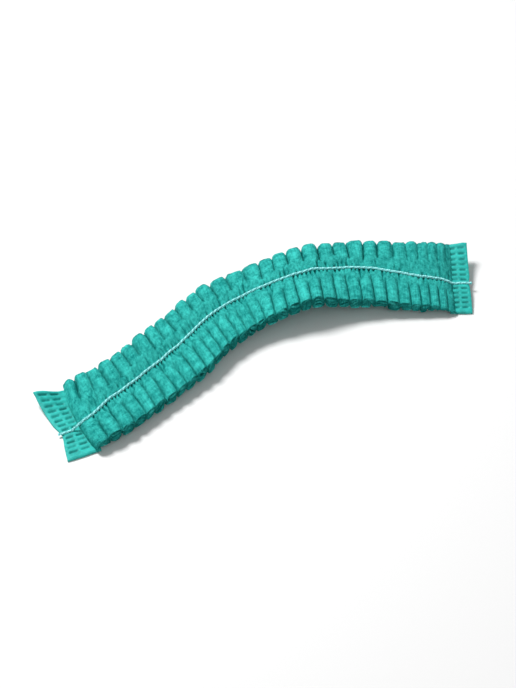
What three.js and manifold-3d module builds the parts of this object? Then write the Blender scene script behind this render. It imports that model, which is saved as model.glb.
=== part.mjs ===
// A disposable bouffant cap, folded lengthwise into the narrow strip in which it is packed.
//
// One web of thin non-woven fabric is pleated back and forth along its length. The pleats are
// welded together at both ends, and a thin elastic runs along the middle of the uppermost and
// of the lowest pleat. The elastics draw the strip together, so its pleats stand in ribs.
// The strip lies by itself on the plane z = 0 in a slack S-bend, with a low arch in it.
//
// Units are millimetres and +Z is up. A place on the strip is given as (s, v, h): s runs along
// the middle of the strip from the outer edge of the left weld, v across it, positive to the
// left of the way s runs, and h up from the middle of the stack of pleats.

import * as THREE from "three";
import { mergeVertices } from "three/addons/utils/BufferGeometryUtils.js";
import Module from "manifold-3d";

const wasm = await Module();
wasm.setup();

// ---- Driving dimensions ---------------------------------------------------------------------

const pleatWidth = 42; // from fold to fold
const weldLength = 15.5; // outer edge to the first rib
const gatheredLength = 192; // between the two welds
const stripLength = gatheredLength + 2 * weldLength;

const wall = { middle: 1.5, end: 1.0 }; // thickness of one pleat
const slit = { middle: 0.45, end: 0.35 }; // height of the gap between two pleats
const taper = { left: 12, right: 26 }; // the stack grows to its full height in this length
const endRise = 1.5; // the lowest pleat leaves the weld this far above the ground

const ribCount = 30;
const ribDepth = 2.1; // crest to crease on the fullest rib
const endRibShare = 0.2; // what is left of a rib's depth beside the weld
const ribSpacingSpread = 0.12; // how unevenly the ribs are spaced, in ribs
const ribDepthSpread = 0.11; // how unevenly deep they are, as a share of their depth
const ribPillow = 0.4; // an outer pleat swells this much on either side of its elastic
const foldSwell = 0.8; // a fold rounds out past the flat of the pleats
const slitInset = 1.7; // the gap between two pleats ends this far inside their fold
const scallop = 0.7; // a rib's end reaches this much past a crease's

const elasticDiameter = 1.0;
const elasticSides = 8;
const elasticOverhang = 0.8; // the cut end stands out past the weld's edge
const elasticSteps = { upper: 76, lower: 60 };
const elasticSpacing = { taper: 2, middle: 4 }; // between the points that the threads follow
const seat = 0.3; // clearance between pieces that touch
const threadSeat = 0.5; // an elastic runs straight past the corners of the first ribs

const weld = { thickness: 1.4, flatLength: 11.6, rootHeight: 5.0 };
const leftRim = { right: [-2.6, -19.2], middle: [1.3, -5.0], left: [-1.5, 20.4] };
const rightRim = { right: [0.8, -20.4], middle: [0.3, 2.6], left: [0.0, 20.4] };
const dent = { length: 4.3, width: 1.15, depth: 0.5, pitch: 3.0, rim: 1.3, columnGap: 1.3 };
const firstDentRow = 2.7; // from the elastic to the middle of the nearest row
const dentMargin = 1.6; // no row of dents lies nearer to a corner of the weld than this
const cutMargin = 1; // a body that cuts another stands this far proud of it

// The strip's way over the ground, as bends of a given length and turn.
const startHeading = 26; // degrees from +X
const start = new THREE.Vector2(-87.95, -51.17); // puts the origin under the middle of the cap
const bends = [
  { length: weldLength, turn: 0 },
  { length: 9, turn: 13 },
  { length: 15.5, turn: 11 },
  { length: 19.5, turn: 0 },
  { length: 31, turn: 6 },
  { length: 33, turn: -30.5 },
  { length: 39, turn: -11.5 },
  { length: 25, turn: -15 },
  { length: 20, turn: 2 },
  { length: weldLength, turn: 0 },
];
// The web is sheared where the strip bends: its ribs stand square to these headings instead.
const ribHeadings = [
  { s: weldLength, value: 26 },
  { s: 80, value: 27 },
  { s: 100, value: 23 },
  { s: 125, value: 13 },
  { s: 150, value: 6 },
  { s: stripLength - weldLength, value: 1 },
];
// The strip leans: its left side is raised by this many degrees.
const rolls = [
  { s: 60, value: 0 },
  { s: 90, value: -3 },
  { s: 150, value: -4 },
  { s: 170, value: 2 },
  { s: 190, value: 8 },
];
// The elastics keep this far to the left of the strip's middle.
const elasticOffsets = [
  { s: 0, value: -4.2 },
  { s: 13, value: -5 },
  { s: 30, value: 0.4 },
  { s: 60, value: 1.3 },
  { s: 110, value: 2.3 },
  { s: 165, value: 2.3 },
  { s: 206.5, value: -2.6 },
];
const arch = { middle: 152, halfSpan: 48, height: 5 };

// How high a rib stands on either side of a crease: the share of the way to the next crease,
// and the height there on the upper and on the lower pleat, from 0 (crease) to 1 (crest).
const ribProfile = [
  { share: 0.0, upper: 0.0, lower: 1.0 },
  { share: 0.24, upper: 0.86, lower: 0.86 },
  { share: 0.5, upper: 1.0, lower: 0.0 },
  { share: 0.76, upper: 0.86, lower: 0.86 },
];

// Across an outer pleat: u is v over half the pleat's width, rib is the share of the rib's
// depth that is left there, and pillow the share of the swelling.
const acrossOuter = [
  { u: -1.0, rib: 0.9, pillow: 0.0 },
  { u: -0.84, rib: 1.0, pillow: 0.8 },
  { u: -0.5, rib: 0.95, pillow: 1.0 },
  { u: -0.14, rib: 0.45, pillow: 0.5 },
  { u: 0.0, rib: 0.0, pillow: -0.6 },
  { u: 0.14, rib: 0.45, pillow: 0.5 },
  { u: 0.5, rib: 0.95, pillow: 1.0 },
  { u: 0.84, rib: 1.0, pillow: 0.8 },
  { u: 1.0, rib: 0.9, pillow: 0.0 },
];

// ---- The strip's way ------------------------------------------------------------------------

const halfWidth = pleatWidth / 2;
const elasticRadius = elasticDiameter / 2;
const gatherStart = weldLength + seat;
const gatherEnd = stripLength - weldLength - seat;
const rad = THREE.MathUtils.degToRad;
const mix = THREE.MathUtils.lerp;

function headingAt(s) {
  let heading = startHeading;
  let from = 0;
  for (const bend of bends) {
    const share = THREE.MathUtils.clamp((s - from) / bend.length, 0, 1);
    heading += share * bend.turn;
    from += bend.length;
  }
  return rad(heading);
}

// Reads a value at s from knots, which run straight or with a soft step from one to the next.
function readOff(knots, s, ease = (share) => share) {
  const last = knots.length - 1;
  const next = knots.findIndex((knot) => knot.s > s);
  const i = next === -1 ? last : Math.max(next, 1);
  const [from, to] = [knots[i - 1], knots[i]];
  const share = THREE.MathUtils.clamp((s - from.s) / (to.s - from.s), 0, 1);
  return mix(from.value, to.value, ease(share));
}

// The direction along a rib, to the left of the strip's way.
function alongRibAt(s) {
  const heading = rad(readOff(ribHeadings, s));
  return new THREE.Vector2(-Math.sin(heading), Math.cos(heading));
}

const rollAt = (s) => rad(readOff(rolls, s));
const softStep = (share) => THREE.MathUtils.smoothstep(share, 0, 1);
const elasticOffsetAt = (s) => readOff(elasticOffsets, s, softStep);

// 0 at the ends of the arch and 1 at its middle.
function archShare(s) {
  const x = THREE.MathUtils.clamp((s - arch.middle) / arch.halfSpan, -1, 1);
  return Math.cos((x * Math.PI) / 2) ** 2;
}

// 0 beside a weld and 1 where the stack has its full height.
function fullness(s) {
  const fromLeft = THREE.MathUtils.smoothstep(s - gatherStart, 0, taper.left);
  const fromRight = THREE.MathUtils.smoothstep(gatherEnd - s, 0, taper.right);
  return Math.min(fromLeft, fromRight);
}

const wallAt = (s) => mix(wall.end, wall.middle, fullness(s));
const pitchAt = (s) => wallAt(s) + mix(slit.end, slit.middle, fullness(s));
const ribDepthAt = (s) => ribDepth * mix(endRibShare, 1, fullness(s));
const pillowAt = (s) => ribPillow * fullness(s);
const halfStackAt = (s) => pitchAt(s) + wallAt(s) / 2;

// Height of the middle of the stack over the strip's base.
function middleHeight(s) {
  const resting = halfStackAt(s) + pillowAt(s) + ribDepthAt(s) / 2;
  return resting + endRise * (1 - fullness(s));
}

// How far the arch and the roll raise the middle of the base over the ground.
function liftAt(s) {
  const lowSide = (halfWidth + foldSwell) * Math.abs(Math.sin(rollAt(s)));
  return lowSide + arch.height * archShare(s);
}

// Points of the way over the ground, one every half millimetre.
const wayStep = 0.5;
const way = [start.clone()];
for (let s = 0; s < stripLength + 2; s += wayStep) {
  const heading = headingAt(s + wayStep / 2);
  const step = new THREE.Vector2(Math.cos(heading), Math.sin(heading)).multiplyScalar(wayStep);
  way.push(way[way.length - 1].clone().add(step));
}

function groundPoint(s) {
  const index = Math.min(Math.floor(Math.max(s, 0) / wayStep), way.length - 2);
  return way[index].clone().lerp(way[index + 1], s / wayStep - index);
}

// The point at s, at v across the strip and at a height over its base, in the part's own frame.
function overBase(s, v, height) {
  const roll = rollAt(s);
  const sideways = v * Math.cos(roll) - height * Math.sin(roll);
  const upwards = v * Math.sin(roll) + height * Math.cos(roll);
  const ground = groundPoint(s).addScaledVector(alongRibAt(s), sideways);
  return new THREE.Vector3(ground.x, ground.y, liftAt(s) + upwards);
}

const onStrip = (s, v, h) => overBase(s, v, middleHeight(s) + h);

// ---- The pleated web ------------------------------------------------------------------------

// Where the ribs' creases lie. No two ribs of a gathered strip are quite alike.
function creaseAt(rib) {
  const pitch = (gatherEnd - gatherStart) / ribCount;
  const calmAtEnds = Math.sin((Math.PI * rib) / ribCount);
  const unevenness = ribSpacingSpread * Math.sin(2.4 * rib) * calmAtEnds;
  return gatherStart + (rib + unevenness) * pitch;
}

const ribFullness = (rib) => 1 - ribDepthSpread * (1 - Math.sin(1.7 * rib + 0.5));

// Stations along the web, each with the height of its ribs.
function webStations() {
  const stations = [];
  for (let rib = 0; rib < ribCount; rib += 1) {
    for (const { share, upper, lower } of ribProfile) {
      const s = mix(creaseAt(rib), creaseAt(rib + 1), share);
      stations.push({ s, upper, lower, depth: ribDepthAt(s) * ribFullness(rib) });
    }
  }
  const s = gatherEnd;
  stations.push({ s, upper: 0, lower: 1, depth: ribDepthAt(s) });
  return stations;
}

// The outline of the three pleats at one station, as [v, h] points. It goes along the top,
// round the first fold and back under the middle pleat, then into the slit over the lowest
// pleat and back under that, round the second fold, and out through the slit under the top.
function webOutline({ s, upper, lower, depth }) {
  const pitch = pitchAt(s);
  const half = wallAt(s) / 2;
  const pillow = pillowAt(s);
  const upperRise = depth * (upper - 0.5);
  const lowerRise = -depth * (lower - 0.5);
  const middleRise = (upperRise + lowerRise) / 2;
  const upperReach = halfWidth + scallop * (upper - 0.5);
  const lowerReach = halfWidth + scallop * (lower - 0.5);
  const edgeRib = acrossOuter[0].rib;
  const offset = elasticOffsetAt(s);

  const top = acrossOuter.map(({ u, rib, pillow: share }) => [
    u * upperReach + (1 - Math.abs(u)) * offset,
    pitch + half + share * pillow + rib * upperRise,
  ]);
  const bottom = acrossOuter.map(({ u, rib, pillow: share }) => [
    u * lowerReach + (1 - Math.abs(u)) * offset,
    -pitch - half - share * pillow + rib * lowerRise,
  ]);
  // The inner faces run straight from the middle out to the folds and free edges.
  const inner = (level, rise, reach, inset) => [
    [-reach + inset.right, level + edgeRib * rise],
    [0, level],
    [reach - inset.left, level + edgeRib * rise],
  ];
  const foldLeft = { right: 0, left: slitInset };
  const foldRight = { right: slitInset, left: 0 };
  const underTop = inner(pitch - half, upperRise, upperReach, foldLeft);
  const middleTop = inner(half, middleRise, upperReach, foldLeft);
  const middleUnder = inner(-half, middleRise, lowerReach, foldRight);
  const overBottom = inner(-pitch + half, lowerRise, lowerReach, foldRight);
  const leftFold = [upperReach + foldSwell, (top.at(-1)[1] + middleUnder.at(-1)[1]) / 2];
  const rightFold = [-lowerReach - foldSwell, (bottom[0][1] + middleTop[0][1]) / 2];
  return [
    ...top,
    leftFold,
    ...middleUnder.reverse(),
    ...overBottom,
    ...bottom.reverse(),
    rightFold,
    ...middleTop,
    ...underTop.reverse(),
  ];
}

// A closed skin over outlines that all have the same number of points. Every four-sided facet
// is split along the same diagonal as seen from above, so that pleats stay clear of each other.
function loft(sections, flatSections) {
  const count = sections[0].length;
  const positions = sections.flat().flatMap((point) => point.toArray());
  const index = [];
  for (let i = 0; i + 1 < sections.length; i += 1) {
    for (let k = 0; k < count; k += 1) {
      const next = (k + 1) % count;
      const [a, b] = [i * count + k, i * count + next];
      const [c, d] = [a + count, b + count];
      const runsLeft = flatSections[i][next][0] > flatSections[i][k][0];
      index.push(...(runsLeft ? [a, c, b, b, c, d] : [a, c, d, a, d, b]));
    }
  }
  const cap = (section) =>
    THREE.ShapeUtils.triangulateShape(
      section.map(([v, h]) => new THREE.Vector2(v, h)),
      [],
    );
  const last = (sections.length - 1) * count;
  for (const [a, b, c] of cap(flatSections[0])) {
    index.push(a, c, b);
  }
  for (const [a, b, c] of cap(flatSections.at(-1))) {
    index.push(last + a, last + b, last + c);
  }
  const geometry = new THREE.BufferGeometry();
  geometry.setAttribute("position", new THREE.Float32BufferAttribute(positions, 3));
  geometry.setIndex(index);
  return geometry;
}

function pleatedWeb() {
  const stations = webStations();
  const outlines = stations.map(webOutline);
  const sections = outlines.map((outline, i) =>
    outline.map(([v, h]) => onStrip(stations[i].s, v, h)),
  );
  return loft(sections, outlines);
}

// ---- The end welds --------------------------------------------------------------------------

function toSolid(geometry) {
  const bare = geometry.clone();
  bare.deleteAttribute("normal");
  bare.deleteAttribute("uv");
  const merged = mergeVertices(bare);
  const vertProperties = new Float32Array(merged.attributes.position.array);
  const triVerts = new Uint32Array(merged.index.array);
  return new wasm.Manifold(new wasm.Mesh({ numProp: 3, vertProperties, triVerts }));
}

function toGeometry(solid) {
  const mesh = solid.getMesh();
  const geometry = new THREE.BufferGeometry();
  geometry.setAttribute("position", new THREE.BufferAttribute(mesh.vertProperties, 3));
  geometry.setIndex(new THREE.BufferAttribute(mesh.triVerts, 1));
  return geometry;
}

function prism(points, depth) {
  const shape = new THREE.Shape(points.map(([x, y]) => new THREE.Vector2(x, y)));
  return new THREE.ExtrudeGeometry(shape, { depth, bevelEnabled: false });
}

// The welded end in a frame of its own: x runs from the outer edge towards the ribs, y across,
// and the underside lies on z = 0. rim gives, as [x, y], the outer edge's right corner, the place
// where the elastic crosses it, and its left corner.
function endWeld(rim) {
  const inner = weldLength;
  const outermost = Math.min(rim.right[0], rim.left[0]) - cutMargin;
  const rimAt = (y) => {
    const [x, reach] = y < rim.middle[1] ? rim.right : rim.left;
    return mix(rim.middle[0], x, (y - rim.middle[1]) / (reach - rim.middle[1]));
  };
  const plan = prism(
    [rim.right, [inner, -halfWidth], [inner, halfWidth], rim.left, rim.middle],
    weld.rootHeight + cutMargin,
  );
  const profile = prism(
    [
      [outermost, 0],
      [inner, 0],
      [inner, weld.rootHeight],
      [weld.flatLength, weld.thickness],
      [outermost, weld.thickness],
    ],
    pleatWidth + 2 * cutMargin,
  );
  profile.rotateX(Math.PI / 2);
  profile.translate(0, halfWidth + cutMargin, 0);
  let solid = toSolid(profile).intersect(toSolid(plan));
  for (let column = 0; column < 2; column += 1) {
    const x = dent.rim + dent.length / 2 + column * (dent.length + dent.columnGap);
    for (const side of [-1, 1]) {
      let y = rim.middle[1] + side * firstDentRow;
      while (y > rim.right[1] + dentMargin && y < rim.left[1] - dentMargin) {
        const askew = rimAt(y) * (1 - column / 2);
        const pocket = new THREE.BoxGeometry(dent.length, dent.width, 2 * dent.depth);
        pocket.translate(x + askew, y, weld.thickness);
        solid = solid.subtract(toSolid(pocket));
        y += side * dent.pitch;
      }
    }
  }
  return toGeometry(solid);
}

// ---- The elastics ---------------------------------------------------------------------------

function thread(points, steps) {
  const corners = [];
  for (let side = 0; side < elasticSides; side += 1) {
    const angle = (2 * Math.PI * side) / elasticSides;
    corners.push(new THREE.Vector2(Math.cos(angle), Math.sin(angle)).multiplyScalar(elasticRadius));
  }
  const section = new THREE.Shape(corners);
  const extrudePath = new THREE.CatmullRomCurve3(points, false, "centripetal");
  return new THREE.ExtrudeGeometry(section, { steps, extrudePath, bevelEnabled: false });
}

const middleOf = acrossOuter.find(({ u }) => u === 0);
const clearOfWeb = threadSeat + elasticRadius;

function overWeb(s) {
  const height = halfStackAt(s) + middleOf.pillow * pillowAt(s) + clearOfWeb;
  return onStrip(s, elasticOffsetAt(s), height);
}

function underWeb(s) {
  const depth = halfStackAt(s) + middleOf.pillow * pillowAt(s) + clearOfWeb;
  return onStrip(s, elasticOffsetAt(s), -depth);
}

// Along the gathered part, with closer points where the stack's height changes.
function gatherSteps(from, to) {
  const steps = [];
  let s = from;
  while (s < to - 1) {
    steps.push(s);
    s += fullness(s) < 1 ? elasticSpacing.taper : elasticSpacing.middle;
  }
  return [...steps, to];
}

function upperElastic() {
  const onWeld = (s) => overBase(s, elasticOffsetAt(s), weld.thickness + clearOfWeb);
  const overGathers = gatherSteps(gatherStart + seat, gatherEnd - seat).map(overWeb);
  const liftOff = weld.flatLength - elasticDiameter;
  const left = [-elasticOverhang, liftOff / 2, liftOff].map(onWeld);
  const right = [liftOff, liftOff / 2, -elasticOverhang].map((x) => onWeld(stripLength - x));
  return thread([...left, ...overGathers, ...right], elasticSteps.upper);
}

function lowerElastic() {
  return thread(gatherSteps(gatherStart, gatherEnd).map(underWeb), elasticSteps.lower);
}

// ---- Assembly -------------------------------------------------------------------------------

const fabric = { color: 0x3fc4b2, roughness: 0.9, metalness: 0 };
const fusedFabric = { color: 0x33b5a5, roughness: 0.55, metalness: 0 };
const elastic = { color: 0xcfeee9, roughness: 0.8, metalness: 0 };

function piece(name, geometry, look) {
  const mesh = new THREE.Mesh(geometry, new THREE.MeshStandardMaterial(look));
  mesh.name = name;
  return mesh;
}

// The right weld is turned round, so the strip leans the other way as seen from it.
function placedWeld(name, rim, s, turned) {
  const mesh = piece(name, endWeld(rim), fusedFabric);
  const ground = groundPoint(s);
  const [lean, turn] = turned ? [-rollAt(s), Math.PI] : [rollAt(s), 0];
  mesh.position.set(ground.x, ground.y, liftAt(s));
  mesh.rotation.set(lean, 0, headingAt(s) + turn, "ZYX");
  return mesh;
}

const cap = new THREE.Group();
cap.add(piece("pleated_web", pleatedWeb(), fabric));
cap.add(placedWeld("left_end_weld", leftRim, 0, false));
cap.add(placedWeld("right_end_weld", rightRim, stripLength, true));
cap.add(piece("upper_elastic", upperElastic(), elastic));
cap.add(piece("lower_elastic", lowerElastic(), elastic));

export default cap;
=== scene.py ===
# A disposable bouffant cap, folded lengthwise into the narrow strip in which it is packed.
#
# Lengths are in metres. A place on the strip is given as (s, v, h): s runs along the middle of
# the strip from the outer edge of the left weld, v across it, positive to the left of the way
# s runs, and h up from the middle of the stack of pleats.

import math

import bpy
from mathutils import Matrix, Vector, noise


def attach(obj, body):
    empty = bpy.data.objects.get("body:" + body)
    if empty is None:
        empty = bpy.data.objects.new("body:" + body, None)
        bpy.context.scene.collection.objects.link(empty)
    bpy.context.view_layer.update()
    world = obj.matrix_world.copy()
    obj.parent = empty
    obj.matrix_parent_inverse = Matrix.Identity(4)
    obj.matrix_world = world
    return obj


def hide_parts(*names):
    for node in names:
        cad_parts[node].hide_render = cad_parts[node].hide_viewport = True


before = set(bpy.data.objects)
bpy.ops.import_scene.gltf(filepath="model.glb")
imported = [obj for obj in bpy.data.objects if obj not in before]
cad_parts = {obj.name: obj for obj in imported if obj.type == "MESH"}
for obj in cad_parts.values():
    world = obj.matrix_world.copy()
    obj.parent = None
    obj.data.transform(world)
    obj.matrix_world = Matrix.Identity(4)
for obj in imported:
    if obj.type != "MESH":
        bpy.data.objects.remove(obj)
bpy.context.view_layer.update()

mm = 0.001

# ---- Sizes of the cap ------------------------------------------------------------------------

PLEAT_WIDTH = 42 * mm
PLEATS = 11
WELD_LENGTH = 15.5 * mm
GATHERED_LENGTH = 192 * mm
STRIP_LENGTH = GATHERED_LENGTH + 2 * WELD_LENGTH
# The web's length before the elastics draw it together: a guess, 18 inches less two WELD_LENGTHs.
# The ribs run on over the ends here, so it is drawn into more than GATHERED_LENGTH.
FLAT_LENGTH = 426 * mm
WELD_FLAT = {"left": 11.6 * mm, "right": 7.4 * mm}  # how far the ribs keep off the cut end
WELD_HOLD = 3.0 * mm  # the fused end runs on this far under the ribs
WELD_THICKNESS = 1.2 * mm
STACK_HEIGHT = 8.3 * mm
END_HEIGHT = 0.9 * mm
END_RISE = 1.0 * mm
OPENING = {"left": 6.5 * mm, "right": 28 * mm}  # the stack reaches its full height in this
CURL = {"left": 1.2 * mm, "right": 1.6 * mm}  # the left side rises by this towards the ends
RIM_CURL = {"left": 4.5 * mm, "right": 1.8 * mm}  # and their left corners by this as well
VALLEY = 1.6 * mm  # from the crests down to the elastic
CREST_DROP = 0.35 * mm  # the crests keep this far inside the stack's height
NOSE = 1.6 * mm  # how far the first ribs bulge over the welds
CLOTH = 0.15 * mm
THREAD = 1.0 * mm
THREAD_ENDS = {"left": 1.6 * mm, "right": -1.2 * mm}  # how far in its cut ends lie
SEED = 7.0

# The strip's way over the ground: bends of a given length, with their turn in degrees.
START = (-87.95 * mm, -51.17 * mm)
START_HEADING = 26
BENDS = [
    (WELD_LENGTH, 0),
    (9 * mm, 13),
    (15.5 * mm, 11),
    (19.5 * mm, 0),
    (31 * mm, 6),
    (33 * mm, -30.5),
    (39 * mm, -11.5),
    (25 * mm, -15),
    (20 * mm, 2),
    (WELD_LENGTH, 0),
]
# The web is sheared where the strip bends, so its ribs face along these headings instead.
RIB_HEADINGS = [
    (WELD_LENGTH, 26),
    (80 * mm, 27),
    (100 * mm, 23),
    (125 * mm, 13),
    (150 * mm, 6),
    (STRIP_LENGTH - WELD_LENGTH, 1),
]
# The strip leans on one side or the other, in degrees; its left side is up where it is over 0.
ROLLS = [(60 * mm, 0), (90 * mm, -3), (150 * mm, -4), (170 * mm, 2), (190 * mm, 8)]
# The elastics keep this far to the left of the strip's middle.
ELASTIC_OFFSETS = [
    (0, -4.2 * mm),
    (13 * mm, -5 * mm),
    (30 * mm, 0.4 * mm),
    (60 * mm, 1.3 * mm),
    (110 * mm, 2.3 * mm),
    (165 * mm, 2.3 * mm),
    (206.5 * mm, -2.6 * mm),
]
ARCH = {"middle": 152 * mm, "half_span": 48 * mm, "height": 5.0 * mm}
WAY_STEP = 0.5 * mm


# ---- The strip's way -------------------------------------------------------------------------


def clamp(x, low=0.0, high=1.0):
    return max(low, min(high, x))


def heading_at(s):
    heading = START_HEADING
    start = 0.0
    for length, turn in BENDS:
        heading += turn * clamp((s - start) / length)
        start += length
    return math.radians(heading)


def read_off(knots, s, soft=False):
    """A value at s from knots, which run straight or with a soft step from one to the next."""
    for (start, first), (end, second) in zip(knots, knots[1:]):
        if s <= end:
            break
    share = clamp((s - start) / (end - start))
    if soft:
        share = share * share * (3 - 2 * share)
    return first + (second - first) * share


def side_at(s):
    """The direction to the left along a rib, over the ground."""
    heading = math.radians(read_off(RIB_HEADINGS, s))
    return Vector((-math.sin(heading), math.cos(heading), 0))


def roll_at(s):
    return math.radians(read_off(ROLLS, s))


def elastic_offset_at(s):
    return read_off(ELASTIC_OFFSETS, s, soft=True)


def strip_way():
    """Points of the way over the ground, one for every WAY_STEP."""
    points = [Vector((*START, 0))]
    for i in range(round(STRIP_LENGTH / WAY_STEP)):
        heading = heading_at((i + 0.5) * WAY_STEP)
        step = Vector((math.cos(heading), math.sin(heading), 0)) * WAY_STEP
        points.append(points[-1] + step)
    return points


WAY = strip_way()


def ground(s):
    """The point of the way at s; past its ends it runs straight on."""
    i = round(clamp(s / WAY_STEP, 0, len(WAY) - 2) - 0.5)
    return WAY[i].lerp(WAY[i + 1], s / WAY_STEP - i)


def openness(s):
    """0 at the welds and 1 where the stack of pleats has its full height."""
    from_left = (s - WELD_FLAT["left"]) / OPENING["left"]
    from_right = (STRIP_LENGTH - WELD_FLAT["right"] - s) / OPENING["right"]
    return 1 - (1 - clamp(min(from_left, from_right))) ** 2


def lift_at(s):
    """How far the arch and the strip's roll raise its middle."""
    x = clamp((s - ARCH["middle"]) / ARCH["half_span"], -1, 1)
    arch = ARCH["height"] * math.cos(x * math.pi / 2) ** 2
    return arch + PLEAT_WIDTH / 2 * abs(math.sin(roll_at(s)))


def rib_share(opened):
    """The share of their full depth that ribs and valley have where the stack is this open."""
    return 0.35 + 0.65 * opened


def half_stack(s):
    return (END_HEIGHT + (STACK_HEIGHT - END_HEIGHT) * openness(s)) / 2


def middle_height(s):
    """Height of the middle of the stack over the strip's base."""
    opened = openness(s)
    return half_stack(s) + END_RISE * 4 * opened * (1 - opened)


def on_strip(s, v, height):
    """The point at v across the strip and at a height over its base."""
    roll = roll_at(s)
    sideways = v * math.cos(roll) - height * math.sin(roll)
    upwards = v * math.sin(roll) + height * math.cos(roll)
    return ground(s) + side_at(s) * sideways + Vector((0, 0, lift_at(s) + upwards))


# ---- Node trees written as expressions ---------------------------------------------------------


class Value:
    """One output of a node. Arithmetic on it adds Math nodes to its tree."""

    def __init__(self, nodes, socket):
        self.nodes = nodes
        self.socket = socket

    def output(self, name):
        """Another output of the same node."""
        return Value(self.nodes, self.socket.node.outputs[name])

    def __add__(self, other):
        return self.nodes.math("ADD", self, other)

    def __radd__(self, other):
        return self.nodes.math("ADD", other, self)

    def __sub__(self, other):
        return self.nodes.math("SUBTRACT", self, other)

    def __rsub__(self, other):
        return self.nodes.math("SUBTRACT", other, self)

    def __mul__(self, other):
        return self.nodes.math("MULTIPLY", self, other)

    def __rmul__(self, other):
        return self.nodes.math("MULTIPLY", other, self)

    def __truediv__(self, other):
        return self.nodes.math("DIVIDE", self, other)

    def __rtruediv__(self, other):
        return self.nodes.math("DIVIDE", other, self)

    def __pow__(self, other):
        return self.nodes.math("POWER", self, other)

    def __neg__(self):
        return self.nodes.math("MULTIPLY", self, -1)

    def __abs__(self):
        return self.nodes.math("ABSOLUTE", self)


class Nodes:
    """Adds nodes to one tree, of shaders or of geometry."""

    def __init__(self, tree):
        self.tree = tree

    def add(self, kind, settings=None, inputs=None, output=0):
        """A node with its settings, then its sockets' values or links. Gives one output."""
        node = self.tree.nodes.new(kind)
        for name, value in (settings or {}).items():
            setattr(node, name, value)
        for name, value in (inputs or {}).items():
            self.feed(node.inputs[name], value)
        return Value(self, node.outputs[output]) if node.outputs else node

    def feed(self, socket, value):
        if isinstance(value, Value):
            self.tree.links.new(value.socket, socket)
        else:
            socket.default_value = value

    def math(self, operation, *terms):
        return self.add("ShaderNodeMath", {"operation": operation}, dict(enumerate(terms)))

    def vector(self, operation, *terms, output=0):
        settings = {"operation": operation}
        return self.add("ShaderNodeVectorMath", settings, dict(enumerate(terms)), output)

    def xyz(self, x, y, z):
        return self.add("ShaderNodeCombineXYZ", inputs={"X": x, "Y": y, "Z": z})

    def split(self, vector):
        x = self.add("ShaderNodeSeparateXYZ", inputs={"Vector": vector})
        return x, x.output("Y"), x.output("Z")

    def smooth(self, value, start, end):
        """0 before start and 1 past end, with a soft step between."""
        inputs = {"Value": value, "From Min": start, "From Max": end}
        return self.add("ShaderNodeMapRange", {"interpolation_type": "SMOOTHSTEP"}, inputs)

    def between(self, share, first, second):
        return first + (second - first) * share

    def ripple(self, vector, scale, detail=0.0):
        """Soft noise from -1 to 1 over a vector."""
        inputs = {"Vector": vector, "Scale": scale, "Detail": detail}
        return self.add("ShaderNodeTexNoise", {"noise_dimensions": "3D"}, inputs) * 2 - 1

    def chance(self, x, y):
        """A random share for each pair of whole numbers."""
        inputs = {"Vector": self.xyz(x, y, 0)}
        return self.add("ShaderNodeTexWhiteNoise", {"noise_dimensions": "2D"}, inputs)


def geometry_tree(name, sizes, others=()):
    """An empty tree with a named input for every size, its Nodes and the inputs' Values."""
    tree = bpy.data.node_groups.new(name, "GeometryNodeTree")
    sockets = [("Geometry", "NodeSocketGeometry", None)]
    sockets += [(size, "NodeSocketFloat", value) for size, value in sizes.items()]
    sockets += [(other, kind, None) for other, kind in others]
    for label, kind, value in sockets:
        socket = tree.interface.new_socket(label, in_out="INPUT", socket_type=kind)
        if value is not None:
            socket.default_value = value
    tree.interface.new_socket("Geometry", in_out="OUTPUT", socket_type="NodeSocketGeometry")
    nodes = Nodes(tree)
    group = tree.nodes.new("NodeGroupInput")
    return nodes, {label: Value(nodes, group.outputs[label]) for label, _, _ in sockets}


def end_tree(nodes, geometry, material):
    real = nodes.add("GeometryNodeRealizeInstances", inputs={"Geometry": geometry})
    made = nodes.add("GeometryNodeSetMaterial", inputs={"Geometry": real, "Material": material})
    group = nodes.tree.nodes.new("NodeGroupOutput")
    nodes.feed(group.inputs["Geometry"], made)


def grow(name, base, tree, values, thickness=None):
    """The plain mesh that a tree makes of a base mesh, as a new object."""
    source = bpy.data.objects.new(name + "_base", base)
    bpy.context.collection.objects.link(source)
    modifier = source.modifiers.new(tree.name, "NODES")
    modifier.node_group = tree
    for item in tree.interface.items_tree:
        if item.in_out == "INPUT" and item.name in values:
            modifier[item.identifier] = values[item.name]
    if thickness:
        solid = source.modifiers.new("Thickness", "SOLIDIFY")
        solid.thickness = thickness
        solid.offset = 0
    graph = bpy.context.evaluated_depsgraph_get()
    evaluated = source.evaluated_get(graph)
    mesh = bpy.data.meshes.new_from_object(
        evaluated, preserve_all_data_layers=True, depsgraph=graph
    )
    bpy.data.objects.remove(source)
    mesh.name = name
    made = bpy.data.objects.new(name, mesh)
    bpy.context.collection.objects.link(made)
    return made


def polyline(name, points):
    mesh = bpy.data.meshes.new(name)
    mesh.from_pydata(points, [(i, i + 1) for i in range(len(points) - 1)], [])
    return mesh


# ---- Materials -------------------------------------------------------------------------------


def new_material(name):
    material = bpy.data.materials.new(name)
    material.use_nodes = True
    material.node_tree.nodes.clear()
    return material, Nodes(material.node_tree)


def colour_mix(nodes, share, first, second):
    inputs = {0: share, 6: first, 7: second}
    return nodes.add("ShaderNodeMix", {"data_type": "RGBA"}, inputs, output=2)


def finish_material(nodes, shader):
    output = nodes.tree.nodes.new("ShaderNodeOutputMaterial")
    nodes.feed(output.inputs["Surface"], shader)


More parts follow.
